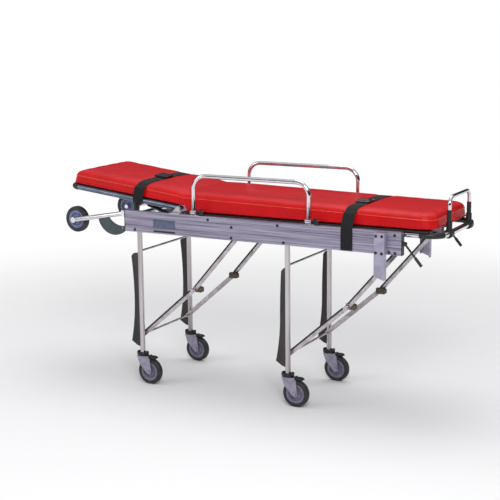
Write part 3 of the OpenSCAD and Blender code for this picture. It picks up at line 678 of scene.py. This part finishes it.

# %% [markdown]
# ## Welts
# The cover's top and side panels meet in a corded seam. The cord is a thin tube that runs round
# the edge. Its route is a rounded rectangle, dropped onto the finished cover so that it follows
# every swelling, and a curve with a round bevel is the simplest way to sweep it. The top cord's
# brighter orange-red is a painted highlight on the real seam.


# %% Corded seams
def outline(inset, step=0.012):
    """Points (s, y) round the mattress's plan, with its rounded corners."""
    points = []
    corners = ((SEAT_LENGTH, 1, FOOT_CORNER, 0), (SEAT_LENGTH, -1, FOOT_CORNER, 270),
               (-BACK_LENGTH, -1, HEAD_CORNER, 180), (-BACK_LENGTH, 1, HEAD_CORNER, 90))
    ordered = [corners[1], corners[0], corners[3], corners[2]]
    for s_end, side, radius, first in ordered:
        middle_s = s_end - math.copysign(radius, s_end)
        middle_y = side * (HALF - radius)
        for turn in range(0, 91, 15):
            angle = math.radians(first + turn)
            reach = max(0.004, radius - inset)
            points.append((middle_s + reach * math.cos(angle), middle_y + reach * math.sin(angle)))
    full = []
    for number, here in enumerate(points):
        there = points[(number + 1) % len(points)]
        gap = math.dist(here, there)
        pieces = max(1, round(gap / step))
        full += [(here[0] + (there[0] - here[0]) * k / pieces,
                  here[1] + (there[1] - here[1]) * k / pieces) for k in range(pieces)]
    return full


def welt(name, height_at, radius, material):
    """A corded seam round the cover at a height; it sinks where a strap presses on it."""
    curve = bpy.data.curves.new(name, "CURVE")
    curve.dimensions = "3D"
    curve.bevel_depth, curve.bevel_resolution = radius, 3
    route = []
    for s, y in outline(0.0, 0.006):
        spot, normal, _, _ = surface.find_nearest(on_slope(s, y, height_at(s)))
        under = max(smooth((STRAP_WIDTH / 2 + 0.012 - abs(s - middle)) / 0.01)
                    for middle in STRAPS.values())
        route.append(spot + normal * radius * (0.45 - 2.2 * under))
    spline = curve.splines.new("POLY")
    spline.points.add(len(route) - 1)
    for point, spot in zip(spline.points, route):
        point.co = (*spot, 1)
    spline.use_cyclic_u = True
    swept = bpy.data.objects.new(name + "_route", curve)
    bpy.context.scene.collection.objects.link(swept)
    mesh = applied(swept)
    bpy.data.objects.remove(swept)
    mesh.name = name
    mesh.materials.clear()
    mesh.materials.append(FINISHES[material])
    mesh.polygons.foreach_set("use_smooth", [True] * len(mesh.polygons))
    piece = bpy.data.objects.new(name, mesh)
    bpy.context.scene.collection.objects.link(piece)
    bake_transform(piece)


SEAM_DROP = 0.016
# The top welt is a real seam whose brighter colour is a painted highlight; the bottom welt is plain cover vinyl.
welt("mattress_top_welt_painted_highlight", lambda s: top_at(s) - SEAM_DROP, 0.0021, "welt_vinyl_painted_highlight")
welt("mattress_bottom_welt", lambda s: bottom_at(s) + 0.008, 0.0024, "red_vinyl")
print("sewed two welts")

# %% [markdown]
# ## Straps
# Webbing is flat, thin and stiff across its width, so it is drawn as a path and given width
# and thickness. Over the mattress the path is dropped onto the cover; past the edges it follows
# the rail or the backrest tube round and under, where the solid strap lies.


# %% Strap builder
def strap_piece(name, route, sideways, width, body, node):
    """A webbing band whose centreline is route and whose width runs along sideways."""
    bm = bmesh.new()
    layer = bm.loops.layers.uv.new("along")
    columns = 6
    rows = []
    travelled = [0.0]
    for a, b in zip(route, route[1:]):
        travelled.append(travelled[-1] + (b - a).length)
    first = [bm.verts.new(route[0] + sideways * width * (k / columns - 0.5))
             for k in range(columns + 1)]
    rows.append(first)
    edges = [bm.edges.new(pair) for pair in zip(first, first[1:])]
    for a, b in zip(route, route[1:]):
        grown = bmesh.ops.extrude_edge_only(bm, edges=edges)["geom"]
        fresh = [g for g in grown if isinstance(g, bmesh.types.BMVert)]
        bmesh.ops.translate(bm, vec=b - a, verts=fresh)
        edges = [g for g in grown if isinstance(g, bmesh.types.BMEdge)
                 and g.verts[0] in fresh and g.verts[1] in fresh]
        rows.append(fresh)
    place_of = {v: travelled[number] for number, row in enumerate(rows) for v in row}
    origin = route[0]
    bm.normal_update()
    for face in bm.faces:
        for loop in face.loops:
            offset = (loop.vert.co - origin).dot(sideways)
            loop[layer].uv = (offset, place_of[loop.vert])
    bmesh.ops.recalc_face_normals(bm, faces=bm.faces)
    mesh = bpy.data.meshes.new(name)
    bm.to_mesh(mesh)
    bm.free()
    mesh.polygons.foreach_set("use_smooth", [True] * len(mesh.polygons))
    piece = place_piece(name, mesh, body, "strap_webbing")
    thick = piece.modifiers.new("thickness", "SOLIDIFY")
    thick.thickness, thick.offset = 0.0018, 0
    edge = piece.modifiers.new("edge", "BEVEL")
    edge.width, edge.segments, edge.limit_method = 0.0005, 2, "ANGLE"
    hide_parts(node)
    return piece

# %% [markdown]
# The two routes are lists of a few chosen points beside the mattress, joined over it by points
# that a ray finds on the cover, and then eased so that the webbing bends instead of creasing.


# %% Strap routes
def over_cover(s, side_y, lift):
    """The point on the cover above (s, y), raised along the backrest's or the seat's normal."""
    tilt_here = SLOPE * smooth((BEND / 2 - s) / BEND)
    down = Vector((-math.sin(tilt_here), 0, -math.cos(tilt_here)))
    begin = on_slope(s, side_y, 0.2)
    spot, normal, _, _ = surface.ray_cast(begin, down)
    return spot - down * lift


def strap_route(s, beside, lift=0.0024):
    """Down one side, over the cover and down the other side; beside is the outer stretch."""
    reach = HALF - 0.014
    steps = 26
    middle = [over_cover(s, -reach + 2 * reach * k / steps, lift) for k in range(steps + 1)]
    left = [on_slope(s, -y, h) for y, h in beside]
    far = [on_slope(s, y, h) for y, h in reversed(beside)]
    return left + middle + far


def eased(points, step=0.01):
    """The same line with points closer together."""
    dense = []
    for a, b in zip(points, points[1:]):
        parts = max(1, round((b - a).length / step))
        dense += [a.lerp(b, k / parts) for k in range(parts)]
    dense.append(points[-1])
    rounded = dense[:1]
    for a, b, c in zip(dense, dense[1:], dense[2:]):
        rounded.append(a * 0.22 + b * 0.56 + c * 0.22)
    return rounded + dense[-1:]


rail_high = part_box("left_side_rail")[1]
rail_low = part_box("left_side_rail")[0]
RAIL_FACE = -rail_low.y
leg_beside = [(RAIL_FACE - 0.020, rail_low.z - HINGE.z - 0.0016),
              (RAIL_FACE - 0.002, rail_low.z - HINGE.z - 0.0016),
              (RAIL_FACE + 0.0018, rail_low.z - HINGE.z + 0.004),
              (RAIL_FACE + 0.0018, rail_high.z - HINGE.z - 0.004),
              (HALF + 0.020, rail_high.z - HINGE.z + 0.028),
              (HALF + 0.003, top_at(STRAPS["leg_strap"]) - 0.014)]
leg_route = eased(strap_route(STRAPS["leg_strap"], leg_beside))
strap_piece("leg_strap_webbing", leg_route, Vector((1, 0, 0)), STRAP_WIDTH, "frame", "leg_strap")
TUBE_Y, TUBE_R = 0.228, 0.0125
chest_beside = [(TUBE_Y - 0.012, -TUBE_R - 0.0016), (TUBE_Y + 0.006, -TUBE_R - 0.0016),
                (TUBE_Y + TUBE_R + 0.0012, -0.006), (TUBE_Y + TUBE_R + 0.0016, 0.008),
                (HALF + 0.0058, 0.034), (HALF + 0.003, BACK_TOP - 0.014)]
chest_route = eased(strap_route(STRAPS["chest_strap"], chest_beside))
along_back = Vector((math.cos(SLOPE), 0, -math.sin(SLOPE)))
strap_piece("chest_strap_webbing", chest_route, along_back, STRAP_WIDTH, "backrest", "chest_strap")
print("laid straps of", [round(sum(math.dist(a, b) for a, b in zip(route, route[1:])), 2)
                         for route in (leg_route, chest_route)], "metres")

# %% [markdown]
# ## Buckles
# The chest strap closes with a moulded side-release buckle and the leg strap with a plated
# lift-plate buckle. Both are small boxes with generous bevels, and they are built flat at the
# origin and then laid on the strap.


# %% Buckle builder
def box_part(bm, size, place, bevel=0.0015):
    """Adds a bevelled box to a bmesh."""
    made = bmesh.ops.create_cube(bm, size=1)["verts"]
    bmesh.ops.scale(bm, vec=size, verts=made)
    bmesh.ops.translate(bm, vec=place, verts=made)
    edges = list({e for v in made for e in v.link_edges})
    bmesh.ops.bevel(bm, geom=edges, offset=bevel, segments=3, profile=0.5, affect="EDGES",
                    offset_type="OFFSET", material=-1)


def bar_part(bm, radius, length, place):
    """Adds a round bar along X to a bmesh."""
    made = bmesh.ops.create_cone(bm, cap_ends=True, segments=20, radius1=radius, radius2=radius,
                                 depth=length)["verts"]
    bmesh.ops.rotate(bm, verts=made, matrix=Matrix.Rotation(math.pi / 2, 3, "Y"))
    bmesh.ops.translate(bm, vec=place, verts=made)


def lay_on_strap(bm, s, y, lift):
    """Moves a flat bmesh onto the cover, square to its slope."""
    spot = over_cover(s, y, lift)
    angle = SLOPE * smooth((BEND / 2 - s) / BEND)
    bmesh.ops.transform(bm, verts=bm.verts,
                        matrix=Matrix.Translation(spot) @ Matrix.Rotation(angle, 4, "Y"))


def small_piece(bm, name, body, slot, *nodes):
    """Turns a bmesh into a finished piece that stands for some nodes."""
    bmesh.ops.recalc_face_normals(bm, faces=bm.faces)
    mesh = bpy.data.meshes.new(name)
    bm.to_mesh(mesh)
    bm.free()
    mesh.polygons.foreach_set("use_smooth", [True] * len(mesh.polygons))
    mesh.set_sharp_from_angle(angle=math.radians(35))
    piece = place_piece(name, mesh, body, slot)
    if nodes:
        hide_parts(*nodes)

# %% [markdown]
# The moulded buckle is a body, a tongue between two side arms, and a slotted bar at its end.

# %% Chest buckle
bm = bmesh.new()
W = STRAP_WIDTH + 0.009
box_part(bm, (W, 0.034, 0.012), (0, 0.016, 0.006), 0.0035)
box_part(bm, (W - 0.012, 0.024, 0.009), (0, -0.014, 0.0055), 0.003)
for side in (-1, 1):
    box_part(bm, (0.007, 0.030, 0.008), (side * (W / 2 - 0.004), -0.008, 0.0055), 0.002)
box_part(bm, (W, 0.008, 0.007), (0, -0.034, 0.005), 0.002)
for side in (-1, 1):
    box_part(bm, (0.007, 0.020, 0.007), (side * (W / 2 - 0.0035), -0.028, 0.005), 0.002)
box_part(bm, (W - 0.02, 0.012, 0.002), (0, 0.018, 0.0128), 0.0008)
lay_on_strap(bm, STRAPS["chest_strap"], -0.02, 0.0034)
small_piece(bm, "chest_buckle", "backrest", "black_plastic", "chest_strap_buckle")

# %% [markdown]
# The plated buckle is two round bars held by side plates, under a plate that lifts to let go.

# %% Leg buckle
bm = bmesh.new()
for y in (-0.034, 0.034):
    bar_part(bm, 0.0035, W, (0, y, 0.004))
for side in (-1, 1):
    box_part(bm, (0.006, 0.074, 0.005), (side * (W / 2 - 0.003), 0, 0.004), 0.0015)
box_part(bm, (W - 0.010, 0.046, 0.008), (0, -0.004, 0.008), 0.003)
box_part(bm, (W - 0.024, 0.018, 0.003), (0, -0.012, 0.0125), 0.001)
lay_on_strap(bm, STRAPS["leg_strap"], -0.06, 0.0034)
small_piece(bm, "leg_buckle", "frame", "buckle_metal", "leg_strap_buckle")
print("laid two buckles", round(W * 1000), "mm wide")

# %% [markdown]
# ## The plate on the rail
# The left rail carries an enamelled plate with a dark strip under it. Here both are blank. The
# plate has a thin raised border and two rivets, all made from bevelled boxes on the rail's face.

# %% Blank plate
plate_low, plate_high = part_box("id_plate")
STRIP_HIGH = 0.007
PLATE_RIM = 0.003
plate_bottom = plate_high.z - (plate_high.z - plate_low.z) * 0.66
size = Vector((plate_high.x - plate_low.x, plate_high.y - plate_low.y, plate_high.z - plate_bottom))
middle = Vector(((plate_low.x + plate_high.x) / 2, (plate_low.y + plate_high.y) / 2,
                 (plate_bottom + plate_high.z) / 2))
bm = bmesh.new()
box_part(bm, size, middle, 0.0005)
for side in (-1, 1):
    box_part(bm, (size.x, size.y * 1.4, PLATE_RIM),
             middle + Vector((0, 0, side * (size.z - PLATE_RIM) / 2)), 0.0004)
    box_part(bm, (PLATE_RIM, size.y * 1.4, size.z),
             middle + Vector((side * (size.x - PLATE_RIM) / 2, 0, 0)), 0.0004)
    rivet = bmesh.ops.create_uvsphere(bm, u_segments=16, v_segments=8, radius=0.0022)["verts"]
    bmesh.ops.translate(bm, verts=rivet,
                        vec=(middle.x + side * (size.x / 2 - 0.008), plate_low.y + 0.0004, middle.z))
small_piece(bm, "blank_plate", "frame", "plate_blue", "id_plate")
bm = bmesh.new()
box_part(bm, (size.x, size.y, STRIP_HIGH), (middle.x, middle.y, plate_low.z + STRIP_HIGH / 2), 0.0004)
small_piece(bm, "blank_strip", "frame", "black_plastic")

# %% [markdown]
# ## Swivel caps
# Each caster has a black plastic cap over its swivel bearing, with two ears that stand up beside
# the leg. A short cone, bevelled, and two small boxes make it.

# %% Swivel caps
CAP_LOW, CAP_HIGH = 0.1365, 0.1515
for corner in ("front_left", "front_right", "rear_left", "rear_right"):
    swivel = next(j for j in frame["joints"] if j["name"] == corner + "_swivel")
    bm = bmesh.new()
    bmesh.ops.create_cone(bm, cap_ends=True, segments=48, radius1=0.0265, radius2=0.0240,
                          depth=CAP_HIGH - CAP_LOW)
    rims = [e for e in bm.edges if abs(e.verts[0].co.z - e.verts[1].co.z) < 1e-6]
    bmesh.ops.bevel(bm, geom=rims, offset=0.0025, segments=3, profile=0.5, affect="EDGES",
                    offset_type="OFFSET", material=-1)
    for side in (-1, 1):
        box_part(bm, (0.012, 0.022, 0.022), (side * 0.0225, 0, 0.003), 0.004)
    bmesh.ops.translate(bm, verts=bm.verts, vec=(swivel["pos_m"][0], swivel["pos_m"][1],
                                                 (CAP_LOW + CAP_HIGH) / 2))
    small_piece(bm, corner + "_swivel_cap", corner + "_caster", "black_plastic")
print("capped four casters")

# %% [markdown]
# ## Brace edging
# The folding braces are pressed channels whose upper flange is capped with a dark strip, which
# quiets them when they fold. Each strip is a thin box laid along its link from pivot to knee, on
# the upper edge, and it rides on the same link.

# %% Brace edging
STRIP_WIDE, STRIP_PROUD = 0.0075, 0.0006
LINK_THICK, LINK_HALF_WIDTH = 0.009, 0.011
KNEE_AHEAD, KNEE_HEIGHT = 0.2784, 0.4816


def edging(name, node, body, ends):
    """Dark strips along the upper edge of the two links of a node; ends are (x, z) pairs."""
    half_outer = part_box(node)[1].y
    innermost = min(abs(v.co.y) for v in frame["nodes"][node].data.vertices)
    half_inner = max(innermost, half_outer - LINK_THICK)
    (x0, z0), (x1, z1) = ends
    run = Vector((x1 - x0, 0, z1 - z0))
    along_link = run.normalized()
    outward = Vector((-along_link.z, 0, along_link.x))
    if outward.z < 0:
        outward.negate()
    turn = Matrix((along_link, Vector((0, 1, 0)), along_link.cross(Vector((0, 1, 0))))).transposed()
    bm = bmesh.new()
    box_part(bm, (run.length - 0.03, half_outer - half_inner + 2 * STRIP_PROUD, STRIP_WIDE),
             (0, 0, 0), 0.0008)
    bmesh.ops.rotate(bm, verts=bm.verts, matrix=turn)
    place = Vector((x0, 0, z0)) + run / 2 + outward * (LINK_HALF_WIDTH - STRIP_WIDE / 2 + STRIP_PROUD)
    place.y = (half_outer + half_inner) / 2
    bmesh.ops.translate(bm, verts=bm.verts, vec=place)
    twin = bmesh.ops.duplicate(bm, geom=bm.verts[:] + bm.edges[:] + bm.faces[:])["geom"]
    twin_verts = [g for g in twin if isinstance(g, bmesh.types.BMVert)]
    bmesh.ops.translate(bm, verts=twin_verts, vec=(0, -2 * place.y, 0))
    small_piece(bm, name, body, "black_plastic")


for end in ("front", "rear"):
    fold = Vector(next(j for j in frame["joints"] if j["name"] == end + "_leg_fold")["pos_m"])
    hinges = {part: Vector(next(j for j in frame["joints"]
                                if j["name"] == end + "_" + part + "_link_swing")["pos_m"])
              for part in ("upper", "lower")}
    knee = (fold.x + KNEE_AHEAD, KNEE_HEIGHT)
    for part in ("upper", "lower"):
        pivot = (hinges[part].x, hinges[part].z)
        edging(f"{end}_{part}_brace_edging", f"{end}_{part}_braces", f"{end}_{part}_links",
               (pivot, knee))
print("edged the links of four braces")

# %% [markdown]
# ## Guard-foot blocks, handle sleeves and corner sleeves
# Beside each foot of a guard rail, on its +x side, stand two black blocks. The foot handle's
# legs and the head end's corners wear black sleeves, which a curve with a round bevel sweeps
# along the tube.

# %% Guard-foot blocks
guard_low, guard_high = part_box("left_guard_rail")
# Two black blocks on the +x side of each guard-rail foot.
for side, name in ((-1, "left"), (1, "right")):
    bm = bmesh.new()
    for x in (guard_low.x + 0.010, guard_high.x - 0.010):
        box_part(bm, (0.026, 0.012, 0.022), (x + 0.030, side * 0.255, 0.8605), 0.003)
        box_part(bm, (0.012, 0.010, 0.030), (x + 0.024, side * 0.255, 0.866), 0.003)
    small_piece(bm, name + "_guard_foot_blocks", "frame", "black_plastic")
print("set four guard stops")

# %% [markdown]
# A sleeve's route is an arc for each bent corner and a short straight run on the handle's legs.


# %% Tube sleeves
def sleeve(name, points, radius, body):
    """A black sleeve swept along points, with closed ends."""
    curve = bpy.data.curves.new(name, "CURVE")
    curve.dimensions = "3D"
    curve.bevel_depth, curve.bevel_resolution, curve.use_fill_caps = radius, 6, True
    spline = curve.splines.new("POLY")
    spline.points.add(len(points) - 1)
    for point, spot in zip(spline.points, points):
        point.co = (*spot, 1)
    swept = bpy.data.objects.new(name + "_route", curve)
    bpy.context.scene.collection.objects.link(swept)
    bm = bmesh.new()
    bm.from_mesh(applied(swept))
    bpy.data.objects.remove(swept)
    bmesh.ops.remove_doubles(bm, verts=bm.verts, dist=1e-6)
    small_piece(bm, name, body, "black_plastic")


BACK_END, BACK_BEND = 0.618, 0.040
BACK_SLEEVE_R, FOOT_SLEEVE_R = 0.0138, 0.0134
for side, name in ((-1, "left"), (1, "right")):
    arc = []
    for step in range(13):
        angle = math.radians(90 * step / 12)
        s = -BACK_END + BACK_BEND - BACK_BEND * math.sin(angle)
        y = side * (TUBE_Y - BACK_BEND + BACK_BEND * math.cos(angle))
        arc.append(Vector((HINGE.x + s * math.cos(SLOPE), y, HINGE.z - s * math.sin(SLOPE))))
    sleeve(name + "_corner_sleeve", arc, BACK_SLEEVE_R, "backrest")
FOOT_TUBE_Y, FOOT_TUBE_Z, FOOT_BEND, FOOT_BAR_X = 0.2244, 0.836, 0.075, 0.953
for side, name in ((-1, "left"), (1, "right")):
    centre = Vector((FOOT_BAR_X - FOOT_BEND, side * (FOOT_TUBE_Y - FOOT_BEND), FOOT_TUBE_Z))
    lead = [Vector((centre.x - 0.01 * k, side * FOOT_TUBE_Y, FOOT_TUBE_Z)) for k in (2, 1)]
    turn_points = [centre + Vector((math.sin(a), side * math.cos(a), 0)) * FOOT_BEND
                   for a in (math.radians(6 * k) for k in range(12))]
    sleeve(name + "_foot_corner_sleeve", lead + turn_points, FOOT_SLEEVE_R, "frame")
handle_low, handle_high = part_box("foot_handle")
clamp_low, clamp_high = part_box("foot_handle_clamps")
handle_x = (handle_low.x + handle_high.x) / 2
handle_r = (handle_high.x - handle_low.x) / 2
for side, name in ((-1, "left"), (1, "right")):
    leg = side * (handle_high.y - handle_r)
    sleeve(name + "_handle_sleeve", [Vector((handle_x, leg, clamp_high.z + 0.0005 + 0.01 * k))
                                     for k in range(6)], handle_r + 0.0018, "handle")
print("slid on six sleeves")
